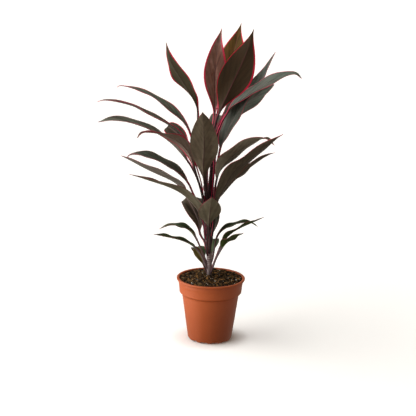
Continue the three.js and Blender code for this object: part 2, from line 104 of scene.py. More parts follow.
# Cane, in mm: its axis leans a little, from its foot in the soil to its growing tip
CANE_FOOT = Vector((-2, 6, 100))
CANE_LEAN = Vector((-7, -1.5, 155))
CANE_LOW = 92
CANE_TIP = 264
CANE_FOOT_RADIUS = 4.6
CANE_TAPER = 1.6
CANE_SIDES = 40
SCAR_SPACING = 3.5
SCAR_DEPTH = 0.35

# The heights between which cane and petioles grow darker towards the soil, in mm
DARKENING_TOP = 134
DARKENING_FOOT = 113

# Leaf, in mm: rows along and columns across, from the midrib out to a margin
STALK_ROWS = 26
STALK_BUNCHING = 1.6
BLADE_ROWS = 60
HALF_ACROSS = (0, 0.05, 0.12, 0.22, 0.35, 0.5, 0.64, 0.76, 0.86, 0.93, 0.975, 1)
ACROSS = [-place for place in HALF_ACROSS[:0:-1]] + list(HALF_ACROSS)

# The petiole is a channel that widens a little at the cane and again below the blade, and folds up deeper
# towards the blade
STALK_HALF_WIDTH = 1.9
STALK_FLARE_AT_CANE = 0.4
STALK_FLARE_AT_BLADE = 0.5
STALK_FOLD_AT_CANE = 18
STALK_FOLD_AT_BLADE = 45
TIP_HALF_WIDTH = 0.4
TIP_FOLD = 1.2

# Thickness at the midrib and at the margins, and how far the upper face lies above the leaf's middle
STALK_THICKNESS = 1.7
RIB_THICKNESS = 1.25
BLADE_THICKNESS = 0.45
STALK_MARGIN = 0.7
UPPER_FACE = 0.3
RIB_WIDTH = 1.3
RIB_GROOVE = 0.2

# A blade is crowned across each half, by the leaf's age, its margins rise and fall in waves, its crease is
# rounded, and its surface ripples along it
CROWN = (0.26, 0.12, 0.12)
WAVE_HEIGHT = 1.6
WAVES = 2.2
CREASE = 4
RIPPLE_HEIGHT = 0.9
RIPPLE_LENGTH = 45
RIPPLES_ACROSS = 2.6

# How a leaf's width grows and shrinks along its blade, by age: young crown leaves are broadest low down
OUTLINES = ((1.45, 1.7), (1.05, 1.2), (1.05, 1.2))

# The leaves, from the crown down. root is the height at which a leaf leaves the cane, and turn the direction
# that it leaves in, in degrees from +X. rib is its midrib: distance out from the cane, height, and, where it
# isn't 0, distance to the left of that direction. stalk is the length of its petiole, and width and fold are
# its blade's, fold in degrees. roll turns the blade about its midrib, in degrees at its base and at its tip.
# wave is 1 where the margins wave. tissue names its colours. edge is the width of its coloured margin: along
# its petiole and beside its blade, to the right and, where it differs, to the left of that direction. age is
# 0, 1 or 2, and YOUNG, GROWN and OLD are what most leaves of each age share.
YOUNG = dict(age=0, roll=(0, 0), wave=0)
GROWN = dict(age=1, roll=(0, 0), wave=1)
OLD = dict(age=2, roll=(0, 0), wave=1, tissue="old_green", edge=(0.1, 0.3))
LEAVES = (
    dict(YOUNG, name="crown_left", root=252, turn=110, stalk=146, width=43, fold=18, roll=(0, -8),
         tissue="crown_maroon", edge=(0.6, 3, 2.7), rib=((4.2, 262, -0.4), (6.3, 290, -0.4), (10, 330, 0.6),
         (16, 379, -14), (32, 470, -21.5), (40, 510, -28), (50, 539, -39))),
    dict(YOUNG, name="crown_back", root=257, turn=58, stalk=153, width=64, fold=14, tissue="crown_olive",
         edge=(0.5, 1.8), rib=((4.2, 267, -1.8), (6, 290, -2), (13, 335, -1), (34, 405, 1), (54, 448, -1),
         (106, 545, 3))),
    dict(YOUNG, name="crown_front", root=247, turn=280, stalk=160, width=58, fold=12, tissue="crown_bronze",
         edge=(0.5, 1.2, 2.6), rib=((4.2, 256, 0.6), (6.5, 280, 2.4), (12, 330, 5), (20, 386, 8),
         (50, 508, 51), (54, 548, 62))),
    dict(YOUNG, name="upper_left_tall", root=240, turn=222, stalk=175, width=42, fold=14, roll=(0, 8),
         wave=1, tissue="tall_bronze", edge=(0.8, 2), rib=((4.5, 250), (8, 290), (13, 335), (26, 392),
         (27, 412), (90, 501), (97, 526))),
    dict(GROWN, name="upper_right_tall", root=238, turn=30, stalk=160, width=32, fold=24, roll=(8, -6),
         tissue="right_bronze", edge=(0.5, 1.2), rib=((4.5, 248, -0.5), (8.4, 290, -0.4), (12, 330, -0.6),
         (13, 369), (54, 419), (101, 452), (130, 499))),
    dict(GROWN, name="upper_back", root=234, turn=92, stalk=102, width=40, fold=20, wave=0,
         tissue="grey_bronze", edge=(0.4, 0.8), rib=((4.6, 243, -1.5), (7.4, 272, -1.9), (24, 332, -11),
         (44, 360, -16), (112, 378, -26), (150, 358, -27))),
    dict(GROWN, name="front", root=229, turn=266, stalk=64, width=47, fold=10, wave=0, tissue="bronze",
         edge=(0.15, 0.15), rib=((4.8, 238, -1.2), (8.4, 260, -0.8), (20, 289, -5), (40, 317, -6),
         (80, 353, -2), (150, 412, 1), (180, 432, 2))),
    dict(GROWN, name="upper_left", root=227, turn=162, stalk=148, width=22, fold=18, roll=(-26, 10),
         tissue="grey_bronze", edge=(0.6, 1.4), rib=((4.4, 236, -0.7), (5.4, 257, -1.1), (9.6, 290, -0.6),
         (32, 355), (37, 369), (61, 396), (109, 425), (164, 437), (170, 434))),
    dict(GROWN, name="upper_right", root=225, turn=346, stalk=184, width=40, fold=16, roll=(20, 24),
         tissue="right_bronze", edge=(0.6, 1.1), rib=((4.7, 236), (9.5, 290), (11, 355), (40, 414),
         (143, 475), (156, 468))),
    dict(GROWN, name="upper_right_back", root=214, turn=50, stalk=151, width=42, fold=18, roll=(20, 16),
         tissue="right_bronze", edge=(0.5, 0.7), rib=((4.8, 224, -0.5), (6.8, 242, 0.8), (8.4, 257, 0.4),
         (14, 295), (25, 362), (60, 390), (137, 417, 4), (154, 426, -1), (169, 432, -1), (184, 432, 7))),
    dict(GROWN, name="left_back", root=212, turn=130, stalk=135, width=28, fold=12, roll=(-50, -46), wave=0,
         tissue="dark_olive_painted_shade", edge=(0.4, 1.1), rib=((4.9, 222, -0.5), (7.2, 245, -1.1), (9, 257, -1.1),
         (15, 290), (51, 331, 3), (74, 347, 2), (92, 355, 2), (111, 359), (125, 358, -6), (138, 353, -18))),
    dict(GROWN, name="left_high", root=206, turn=182, stalk=149, width=28, fold=18, roll=(0, 2),
         tissue="grey_bronze", edge=(0.5, 1.1), rib=((4.6, 216, 0.3), (6.3, 235, 0.8), (8.8, 257, 1.1),
         (15.9, 290, 0.4), (48, 362), (111, 401), (133, 412), (180, 420), (192, 417))),
    dict(GROWN, name="right_high", root=201, turn=20, stalk=141, width=40, fold=20, roll=(18, 10),
         tissue="deep_bronze", edge=(0.9, 1), rib=((4.9, 211, -0.8), (7.6, 237, -1.6), (9.6, 257, -1.2),
         (14.4, 290), (19, 338, -2), (46, 394), (65, 418, 2), (78, 431, 5))),
    dict(GROWN, name="left_front", root=196, turn=228, stalk=122, width=32, fold=16, roll=(36, -8),
         tissue="red_bronze_painted_light", edge=(0.4, 2.2), rib=((4.8, 206, 1), (7.6, 230, 1.2), (10, 245, 0.6),
         (34, 300), (48, 333), (67, 354), (91, 369), (119, 379), (145, 385), (165, 386), (174, 380))),
    dict(GROWN, name="back_high", root=194, turn=106, stalk=127, width=42, fold=20, wave=0,
         tissue="grey_bronze", edge=(0.4, 0.8), rib=((5.1, 204), (9, 230), (13, 257), (30, 317, -4),
         (56, 344, -9), (94, 358, -19), (136, 354, -31), (172, 328, -42))),
    dict(GROWN, name="middle_right", root=190, turn=328, stalk=101, width=45, fold=16, roll=(-22, -8),
         tissue="bronze_with_painted_light", edge=(0.4, 0.7), rib=((5.1, 200), (9.4, 240), (24, 309), (106, 369),
         (126, 360))),
    dict(GROWN, name="left_low", root=181, turn=196, stalk=148, width=40, fold=18, roll=(10, -20),
         tissue="pale_grey", edge=(0.4, 0.9), rib=((4.9, 191, 0.9), (8.4, 216, 2), (11, 245, 2), (22, 287),
         (41, 321), (75, 357), (120, 382), (168, 394), (194, 391))),
    dict(GROWN, name="middle_back", root=178, turn=80, stalk=61, width=40, fold=18, wave=0, tissue="bronze",
         edge=(0.2, 0.5), rib=((5.2, 188), (8, 212), (20, 235, -1), (44, 251, 1), (78, 254, 5),
         (112, 237, 10))),
    dict(GROWN, name="middle_right_front", root=175, turn=354, stalk=91, width=46, fold=14, roll=(-24, -14),
         tissue="deep_bronze", edge=(0.2, 0.45), rib=((5.3, 186), (10.5, 222), (9, 244), (22, 260),
         (39, 282), (61, 303), (82, 320), (100, 332), (111, 337))),
    dict(GROWN, name="middle_left", root=171, turn=166, stalk=117, width=40, fold=20, roll=(0, -5),
         tissue="deep_bronze", edge=(0.2, 0.45), rib=((4.8, 181, -0.9), (7, 200, -1.5), (10.5, 222, -0.8),
         (30, 259), (41, 279), (73, 303), (118, 319), (144, 318), (150, 312))),
    dict(GROWN, name="middle_back_left", root=165, turn=112, stalk=58, width=36, fold=18, wave=0,
         tissue="bronze", edge=(0.2, 0.5), rib=((5.3, 175), (9.5, 198), (20, 219), (44, 233, -6),
         (78, 233, -15), (108, 214, -25))),
    dict(GROWN, name="middle_right_low", root=163, turn=318, stalk=78, width=40, fold=16, roll=(-16, -6),
         tissue="deep_bronze", edge=(0.3, 0.45), rib=((5.3, 173), (10, 202), (12, 228), (23, 260), (33, 277),
         (44, 294), (63, 317), (91, 337), (124, 363), (145, 378), (157, 386))),
    dict(GROWN, name="middle_left_low", root=158, turn=187, stalk=114, width=44, fold=20, roll=(18, 14),
         tissue="pale_grey", edge=(0.2, 0.45), rib=((4.9, 168, 0.6), (7.7, 185, 1.2), (11.2, 208, 1),
         (29, 246), (57, 278), (104, 302), (154, 328))),
    dict(GROWN, name="middle_left_back", root=151, turn=148, stalk=45, width=27, fold=10, roll=(-52, -42),
         wave=0, tissue="brown_olive", edge=(0.2, 0.4), rib=((6, 160), (9.5, 172), (19, 185), (24, 206, -2),
         (36, 225, -4), (48, 238, -7), (59, 241, -15), (73, 233, -38))),
    dict(GROWN, name="middle_front", root=150, turn=282, stalk=64, width=40, fold=12, wave=0,
         tissue="olive_bronze", edge=(0.1, 0.2), rib=((5.4, 160), (10, 180), (24, 209, -6), (80, 273, -14))),
    dict(GROWN, name="low_back", root=147, turn=82, stalk=33, width=34, fold=18, wave=0, tissue="bronze",
         edge=(0.1, 0.4), rib=((5.4, 157), (32, 201, 3), (54, 211, 5), (76, 195, 5))),
    dict(GROWN, name="middle_left_front", root=145, turn=216, stalk=62, width=44, fold=18, roll=(12, 0),
         tissue="olive_bronze", edge=(0.1, 0.3), rib=((6, 155, 1.2), (8, 189, 6), (11, 204, 8), (23, 227, 8),
         (38, 246, 9), (53, 261, 8), (71, 274, 7), (99, 288, 7), (133, 301, 4), (165, 313))),
    dict(OLD, name="low_left", root=131, turn=168, stalk=56, width=26, fold=18, rib=((5.5, 139), (35, 191),
         (66, 199), (91, 190))),
    dict(OLD, name="low_right", root=130, turn=20, stalk=60, width=21, fold=18, rib=((5.5, 140), (17, 187),
         (46, 202), (75, 203), (90, 194))),
    dict(OLD, name="low_right_front", root=121, turn=345, stalk=57, width=32, fold=14, roll=(-14, -10),
         rib=((5.6, 131), (32, 187), (95, 226))),
    dict(OLD, name="low_left_front", root=120, turn=198, stalk=54, width=26, fold=18, rib=((5.6, 129),
         (18, 155), (40, 175), (102, 194))),
    dict(OLD, name="low_back_right", root=118, turn=68, stalk=33, width=24, fold=14, wave=0, rib=((5.6, 127),
         (16, 147, 3), (52, 164, 15), (72, 151, 22))),
    dict(OLD, name="low_back_left", root=115, turn=120, stalk=33, width=26, fold=14, wave=0, rib=((5.7, 123),
         (33, 150), (55, 148), (58, 140))),
    dict(OLD, name="low_green", root=113, turn=314, stalk=62, width=31, fold=14, roll=(-6, 0),
         rib=((5.7, 122), (16, 147), (42, 182), (82, 207))),
    dict(OLD, name="lowest_left", root=112, turn=156, stalk=24, width=15, fold=8, roll=(-58, -46), wave=0,
         tissue="old_yellow", rib=((5.8, 118), (12, 132), (18, 145), (25, 152, -1), (29, 157, -2),
         (33, 155, -9))),
)

# The tissues of the leaves, as sRGB colours: petiole channel and back, upper and lower face, blush between
# the veins, midrib above and below, and margin. roughness is the upper face's, and shine is how strongly the
# wax skin mirrors.
YOUNG_SKIN = dict(channel="6c5054", stalk="3c282c", rib_upper="7a4048", roughness=0.4, shine=0.4)
GROWN_SKIN = dict(channel="6c5c5c", stalk="38292a", rib_upper="6e5a58", rib_lower="43282c", margin="bc2c4c",
                  roughness=0.38, shine=0.35)
OLD_SKIN = dict(channel="8c7e78", stalk="62565a", rib_lower="4a3a2c", roughness=0.4, shine=0.35)
TISSUES = dict(
    crown_maroon=dict(YOUNG_SKIN, upper="8a6052", lower="4a2a28", blush="b08a80", rib_upper="451c20",
                      rib_lower="35181a", margin="dc1a4a", roughness=0.24, shine=1),
    crown_olive=dict(YOUNG_SKIN, upper="48330f", lower="4a3a2a", blush="5c3a18", rib_upper="7a4436",
                     rib_lower="5a2a2a", margin="d82048", roughness=0.6, shine=0.12),
    crown_bronze=dict(YOUNG_SKIN, upper="53352f", lower="473724", blush="4c3422", rib_lower="6e3a40",
                      margin="e21444"),
    tall_bronze=dict(YOUNG_SKIN, upper="53352f", lower="42402c", blush="4a3826", rib_lower="4c2c30",
                     margin="d81c48"),
    bronze=dict(GROWN_SKIN, upper="464c40", lower="776b59", blush="665445", rib_lower="4c3032"),
    deep_bronze=dict(GROWN_SKIN, upper="444a3f", lower="605546", blush="52443a"),
    olive_bronze=dict(GROWN_SKIN, upper="4c4f40", lower="817a66", blush="70604f", rib_lower="5a4040",
                      margin="b0384e"),
    # painted light: olive_bronze with a lighter lower face and blush, for the light on this leaf's underside
    bronze_with_painted_light=dict(GROWN_SKIN, upper="4c4f40", lower="a89e8c", blush="927e6e", rib_lower="5c4040"),
    # painted shade: the upper face is coloured darker for the shade that the left back leaf lies in
    dark_olive_painted_shade=dict(GROWN_SKIN, upper="30281c", lower="4a4434", blush="3c281c", rib_upper="5a4440",
                    margin="cc1c48", roughness=0.6, shine=0.15),
    brown_olive=dict(GROWN_SKIN, upper="483c2e", lower="5e5746", blush="4e4030", roughness=0.5, shine=0.25),
    # painted light: the lower face is coloured lighter for the light that falls on the left front leaf
    red_bronze_painted_light=dict(GROWN_SKIN, upper="6c4a42", lower="968478", blush="8c6a5e", rib_upper="7c4a50",
                    rib_lower="4c2a30", margin="dc2050", roughness=0.36),
    right_bronze=dict(GROWN_SKIN, upper="4b554a", lower="625c52", blush="5c504a", rib_upper="6c6062",
                      rib_lower="3c2228", margin="d03a5e"),
    pale_grey=dict(GROWN_SKIN, upper="70786c", lower="867e74", blush="80706a", rib_upper="7c7072",
                   rib_lower="3c2228", margin="c4446a", roughness=0.36, shine=0.4),
    grey_bronze=dict(GROWN_SKIN, upper="5e6a5c", lower="706a60", blush="70605c", rib_upper="7c7072",
                     rib_lower="3c2228", margin="d03a5e", roughness=0.34, shine=0.4),
    old_green=dict(OLD_SKIN, upper="3c4c2c", lower="465828", blush="42482c", rib_upper="6a6a50",
                   margin="7c3038"),
    old_yellow=dict(OLD_SKIN, upper="5c501e", lower="5a4814", blush="5c4a1c", rib_upper="7a6a48",
                    margin="7c3c30"),
)


def clamp(value):
    return max(0, min(1, value))


def mix(start, end, share):
    return start + (end - start) * share


def smoothstep(value, low, high):
    share = clamp((value - low) / (high - low))
    return share * share * (3 - 2 * share)


def linear(code):
    """A six-digit sRGB colour as linear red, green, blue and alpha."""
    values = [int(code[start : start + 2], 16) / 255 for start in (0, 2, 4)]
    return [v / 12.92 if v <= 0.04045 else ((v + 0.055) / 1.055) ** 2.4 for v in values] + [1]


def new_material(name, finish):
    """A material, its tree of nodes and its shader, with the inputs of the shader that finish names."""
    material = bpy.data.materials.new(name)
    material.use_nodes = True
    shader = material.node_tree.nodes["Principled BSDF"]
    for key, value in finish.items():
        shader.inputs[key].default_value = value
    return material, material.node_tree, shader


def feed(tree, node, links):
    """Links the inputs of a node to the outputs that feed them."""
    for key, source in links.items():
        tree.links.new(source, node.inputs[key])


def add(tree, kind, settings=None, links=None):
    """Adds a node with its settings, its own or its inputs', and the outputs that feed it, and gives its
    outputs."""
    made = tree.nodes.new("ShaderNode" + kind)
    for key, value in (settings or {}).items():
        if isinstance(key, str) and hasattr(made, key):
            setattr(made, key, value)
        else:
            made.inputs[key].default_value = value
    feed(tree, made, links or {})
    return made.outputs


def darkened_near_soil(tree, spot, colour):
    """The colour of a skin, made darker towards the soil line, darkest where it enters the soil."""
    height = add(tree, "SeparateXYZ", links={0: spot})["Z"]
    darkening = add(tree, "MapRange", {"From Min": DARKENING_TOP * MM, "From Max": DARKENING_FOOT * MM, "To Max": 0.9},
                {"Value": height})["Result"]
    return add(tree, "MixRGB", {"Color2": linear("2c181a")}, {"Fac": darkening, "Color1": colour})["Color"]


def leaf_tissue(name, upper, lower, blush, rib_upper, rib_lower, channel, stalk, margin, roughness, shine):
    """Ti leaf: leathery, with a wax skin that is glossier above than below. Fine veins leave the midrib at a
    narrow angle, dark and pale streaks follow them, and a coloured margin runs on down the petiole. Real
    veins are about 1 mm apart: they are drawn 1.7 mm apart, so that they show. The attribute place holds how
    many margin widths lie outside a point, its distance from the midrib and its distance along the leaf, and
    the attribute share holds 1 on the upper face, and how far along the blade a point is."""
    vein_spacing = 1.7
    vein_slant = 0.28
    vein_relief = 0.09
    streak_width = 4.2
    streak_length = 60
    streak_strength = {"To Min": 1.1, "To Max": 2.3}
    mottle_size = 14
    blush_strength = 0.7
    rib_half_width = {"From Min": 1.1, "From Max": 0.5}
    lower_dulling = 0.18
    wear = 0.12
    material, tree, shader = new_material(name, {"IOR": 1.45, "Specular IOR Level": shine})
    read = [add(tree, "Attribute", {"attribute_name": layer})["Vector"] for layer in ("place", "share")]
    place, share = (add(tree, "SeparateXYZ", links={0: vector}) for vector in read)
    is_upper = share["X"]
    spot = add(tree, "TexCoord")["Object"]
    mottle = add(tree, "TexNoise", {"Scale": 1 / (mottle_size * MM), "Detail": 4}, {"Vector": spot})["Fac"]

    slanted = add(tree, "Math", {"operation": "MULTIPLY_ADD", 1: vein_slant}, {0: place["Z"], 2: mottle})
    across = add(tree, "Math", {"operation": "SUBTRACT"}, {0: slanted["Value"], 1: place["Y"]})["Value"]
    turns = add(tree, "Math", {"operation": "MULTIPLY", 1: math.tau / vein_spacing}, {0: across})
    vein = add(tree, "Math", {"operation": "SINE"}, {0: turns["Value"]})["Value"]
    veined = add(tree, "MapRange", {"From Min": -1, "To Min": 0, "To Max": 1}, {"Value": vein})["Result"]

    face = add(tree, "MixRGB", {"Color1": linear(lower), "Color2": linear(upper)}, {"Fac": is_upper})
    blushing = add(tree, "MapRange", {"From Min": 0.45, "From Max": 0.75, "To Max": blush_strength},
                   {"Value": mottle})["Result"]
    blushed = add(tree, "MixRGB", {"Color2": linear(blush)}, {"Fac": blushing, "Color1": face["Color"]})
    flow = add(tree, "CombineXYZ", links={0: across, 1: place["Z"], 2: mottle})["Vector"]
    drawn = add(tree, "Mapping", {"Scale": (1 / streak_width, 1 / streak_length, 1)}, {"Vector": flow})
    streak = add(tree, "TexNoise", {"Scale": 1, "Detail": 3}, {"Vector": drawn["Vector"]})["Fac"]
    strength = add(tree, "MapRange", streak_strength, {"Value": is_upper})["Result"]
    streaked = add(tree, "Math", {"operation": "SUBTRACT", 1: 0.5}, {0: streak})["Value"]
    shading = add(tree, "MapRange", {"To Min": 0.92, "To Max": 1.06}, {"Value": veined})["Result"]
    shade = add(tree, "Math", {"operation": "MULTIPLY_ADD"}, {0: streaked, 1: strength, 2: shading})["Value"]
    lined = add(tree, "VectorMath", {"operation": "SCALE"}, {0: blushed["Color"], "Scale": shade})["Vector"]

    rib = add(tree, "MixRGB", {"Color1": linear(rib_lower), "Color2": linear(rib_upper)}, {"Fac": is_upper})
    near = add(tree, "MapRange", {**rib_half_width, "To Max": 0.8}, {"Value": place["Y"]})["Result"]
    fade = add(tree, "MapRange", {"From Min": 0.95, "From Max": 0.5}, {"Value": share["Y"]})["Result"]
    on_rib = add(tree, "Math", {"operation": "MULTIPLY"}, {0: near, 1: fade})["Value"]
    ribbed = add(tree, "MixRGB", {}, {"Fac": on_rib, "Color1": lined, "Color2": rib["Color"]})["Color"]

    petiole = add(tree, "MixRGB", {"Color1": linear(stalk), "Color2": linear(channel)}, {"Fac": is_upper})
    on_stalk = add(tree, "MapRange", {"From Min": 0.10, "From Max": -0.02}, {"Value": share["Y"]})["Result"]
    stalked = add(tree, "MixRGB", {},
                  {"Fac": on_stalk, "Color1": ribbed, "Color2": petiole["Color"]})["Color"]

    uneven = add(tree, "Math", {"operation": "MULTIPLY_ADD", 1: 0.7}, {0: mottle, 2: place["X"]})["Value"]
    on_edge = add(tree, "MapRange", {"From Min": 1.65, "From Max": 1.1}, {"Value": uneven})["Result"]
    edged = add(tree, "MixRGB", {"Color2": linear(margin)}, {"Fac": on_edge, "Color1": stalked})["Color"]
    darkened = darkened_near_soil(tree, spot, edged)

    dull = add(tree, "MapRange", {"To Min": roughness + lower_dulling, "To Max": roughness},
               {"Value": is_upper})
    worn = add(tree, "Math", {"operation": "MULTIPLY_ADD", 1: wear}, {0: mottle, 2: dull["Result"]})["Value"]
    relief = add(tree, "Bump", {"Distance": vein_relief * MM}, {"Height": veined})["Normal"]
    feed(tree, shader, {"Base Color": darkened, "Roughness": worn, "Normal": relief})
    return material


def moulded_polypropylene():
    """Thermoformed polypropylene, terracotta coloured: a satin skin, a little uneven from the mould, with
    fine scratches up its side and pale scuffs round its foot. Below the collar its colour darkens towards
    the foot, which is painted shade."""
    cloud_size = 22
    scratch_width = 1.6
    ring_height = 2.6
    scuff_size = 0.9
    scuff_reach = 16
    relief_depth = 0.05
    material, tree, shader = new_material("moulded_polypropylene", {"IOR": 1.49})
    spot = add(tree, "TexCoord")["Object"]
    cloud = add(tree, "TexNoise", {"Scale": 1 / (cloud_size * MM), "Detail": 3}, {"Vector": spot})["Fac"]
    tall = add(tree, "Mapping", {"Scale": (1, 1, 0.04)}, {"Vector": spot})["Vector"]
    streak = add(tree, "TexNoise", {"Scale": 1 / (scratch_width * MM), "Detail": 2}, {"Vector": tall})["Fac"]
    flat = add(tree, "Mapping", {"Scale": (0.02, 0.02, 1)}, {"Vector": spot})["Vector"]
    ring = add(tree, "TexNoise", {"Scale": 1 / (ring_height * MM), "Detail": 2}, {"Vector": flat})["Fac"]
    fine = add(tree, "TexNoise", {"Scale": 1 / (scuff_size * MM), "Detail": 3}, {"Vector": spot})["Fac"]

    plain = add(tree, "MixRGB", {"Color1": linear("b85729"), "Color2": linear("c26031")}, {"Fac": cloud})
    height = add(tree, "SeparateXYZ", links={0: spot})["Z"]
    # painted shade: the colour darkens from the collar down to the foot
    painted_low_shade = add(tree, "MapRange", {"From Min": COLLAR_LOW * MM, "From Max": 8 * MM, "To Max": 0.8},
               {"Value": height})["Result"]
    skin = add(tree, "MixRGB", {"Color2": linear("96441c")}, {"Fac": painted_low_shade, "Color1": plain["Color"]})
    low = add(tree, "MapRange", {"From Min": scuff_reach * MM, "From Max": MM}, {"Value": height})["Result"]
    rubbed = add(tree, "Math", {"operation": "MULTIPLY"}, {0: low, 1: fine})["Value"]
    scuff = add(tree, "MapRange", {"From Min": 0.42, "From Max": 0.62, "To Max": 0.4}, {"Value": rubbed})
    scuffed = add(tree, "MixRGB", {"Color2": linear("d29a78")},
                  {"Fac": scuff["Result"], "Color1": skin["Color"]})

    rough = add(tree, "MapRange", {"From Min": 0.3, "From Max": 0.7, "To Min": 0.38, "To Max": 0.52},
                {"Value": streak})["Result"]
    uneven = add(tree, "Math", {"operation": "ADD"}, {0: ring, 1: streak})["Value"]
    relief = add(tree, "Bump", {"Distance": relief_depth * MM}, {"Height": uneven})["Normal"]
    feed(tree, shader, {"Base Color": scuffed["Color"], "Roughness": rough, "Normal": relief})
    return material


def potting_mix():
    """Moist peat, near black: darker in its hollows and paler on its crumbs' tops, which is partly wet
    and dry peat and partly painted shade.
    """
    crumb_size = 1.7
    crumb_relief = 0.8
    material, tree, shader = new_material("moist_peat", {"Roughness": 0.9, "Specular IOR Level": 0.2})
    spot = add(tree, "TexCoord")["Object"]
    crumb = add(tree, "TexNoise", {"Scale": 1 / (crumb_size * MM), "Detail": 6, "Roughness": 0.7},
                {"Vector": spot})["Fac"]
    # partly painted shade: the crumb noise that raises the surface also colours it, darker in the hollows
    tones = add(tree, "MixRGB", {"Color1": linear("0c0805"), "Color2": linear("261a0f")}, {"Fac": crumb})
    relief = add(tree, "Bump", {"Distance": crumb_relief * MM}, {"Height": crumb})["Normal"]
    feed(tree, shader, {"Base Color": tones["Color"], "Normal": relief})
    return material


def grains(name, dark, pale, roughness, relief_depth):
    """Loose grains of one stuff, each of its own tone, with a rough broken surface."""
    grit_size = 0.7
    grit_share = 0.2
    material, tree, shader = new_material(name, {"Roughness": roughness, "Specular IOR Level": 0.25})
    spot = add(tree, "TexCoord")["Object"]
    tone = add(tree, "Attribute", {"attribute_name": "tone"})["Fac"]
    grit = add(tree, "TexNoise", {"Scale": 1 / (grit_size * MM), "Detail": 3}, {"Vector": spot})["Fac"]
    broken = add(tree, "Math", {"operation": "MULTIPLY_ADD", 1: grit_share, "use_clamp": True},
                 {0: grit, 2: tone})["Value"]
    tones = add(tree, "MixRGB", {"Color1": linear(dark), "Color2": linear(pale)}, {"Fac": broken})["Color"]
    relief = add(tree, "Bump", {"Distance": relief_depth * MM}, {"Height": grit})["Normal"]
    feed(tree, shader, {"Base Color": tones, "Normal": relief})
    return material


def cane_skin():
    """The skin of a young cane: smooth and grey purple between the rings that fallen leaves have left."""
    streak_width = 1.2
    streak_relief = 0.15
    material, tree, shader = new_material("cane_skin", {"Roughness": 0.5})
    spot = add(tree, "TexCoord")["Object"]
    grain = add(tree, "Mapping", {"Scale": (1, 1, 0.15)}, {"Vector": spot})["Vector"]
    streak = add(tree, "TexNoise", {"Scale": 1 / (streak_width * MM), "Detail": 4}, {"Vector": grain})["Fac"]
    tones = add(tree, "MixRGB", {"Color1": linear("7c6668"), "Color2": linear("bca8a8")}, {"Fac": streak})
    relief = add(tree, "Bump", {"Distance": streak_relief * MM}, {"Height": streak})["Normal"]
    feed(tree, shader, {"Base Color": darkened_near_soil(tree, spot, tones["Color"]), "Normal": relief})
    return material


def new_object(name, data):
    """An object in the scene."""
    made = bpy.data.objects.new(name, data)
    bpy.context.scene.collection.objects.link(made)
    return made


def mesh_object(name, form, *materials):
    """An object in the scene from a form, which it uses up."""
    mesh = bpy.data.meshes.new(name)
    form.to_mesh(mesh)
    form.free()
    for material in materials:
        mesh.materials.append(material)
    return new_object(name, mesh)


def make_piece(name, form, material):
    """A piece of the plant or its pot from a form in mm, smooth but for its sharp edges."""
    sharp = math.radians(50)
    bmesh.ops.scale(form, vec=(MM, MM, MM), verts=form.verts)
    for surface in form.faces:
        surface.smooth = True
    for edge in form.edges:
        edge.smooth = edge.calc_face_angle(0) < sharp
    made = mesh_object(name, form, material)
    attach(made, "root")
    return made


def turned(outline, steps):
    """A solid turned about the upright axis. Its outline, in radii and heights, starts and ends on it."""
    form = bmesh.new()
    corners = [form.verts.new((radius, 0, height)) for radius, height in outline]
    edges = [form.edges.new(pair) for pair in zip(corners, corners[1:])]
    bmesh.ops.spin(form, geom=corners + edges, axis=(0, 0, 1), cent=(0, 0, 0), steps=steps, angle=math.tau,
                   use_merge=True)
    bmesh.ops.remove_doubles(form, verts=form.verts, dist=0.001)
    bmesh.ops.recalc_face_normals(form, faces=form.faces)
    return form


def rounded(corners, steps=5):
    """An outline through corners, each a radius, a height and how far along its sides it is rounded."""
    outline = []
    for index, (radius, height, reach) in enumerate(corners):
        corner = Vector((radius, height))
        if not reach:
            outline.append(corner)
            continue
        before = corner + (Vector(corners[index - 1][:2]) - corner).normalized() * reach
        after = corner + (Vector(corners[index + 1][:2]) - corner).normalized() * reach
        for step in range(steps + 1):
            share = step / steps
            outline.append(before.lerp(corner, share).lerp(corner.lerp(after, share), share))
    return outline


def headings(path):
    """The direction at each point of a path, from the point before it to the point after it."""
    befores = [path[0], *path]
    afters = [*path[1:], path[-1]]
    return [(after - before).normalized() for before, after in zip(befores, afters)]


def tube(form, path, radii, sides):
    """A closed tube along a path: a disc, extruded from point to point. Gives its vertices."""
    ways = headings(path)
    first = Matrix.Translation(path[0]) @ ways[0].to_track_quat("Z", "Y").to_matrix().to_4x4()
    disc = bmesh.ops.create_circle(form, cap_ends=True, segments=sides, radius=radii[0],
                                   matrix=first)["verts"]
    made = list(disc)
    end = disc[0].link_faces[0]
    for index in range(1, len(path)):
        region = bmesh.ops.extrude_face_region(form, geom=[end], use_keep_orig=index == 1)["geom"]
        end = next(part for part in region if isinstance(part, bmesh.types.BMFace))
        turn = ways[index - 1].rotation_difference(ways[index]).to_matrix()
        for vert in end.verts:
            vert.co = path[index] + turn @ (vert.co - path[index - 1]) * (radii[index] / radii[index - 1])
        made += end.verts
    bmesh.ops.recalc_face_normals(form, faces=list({part for vert in made for part in vert.link_faces}))
    return made


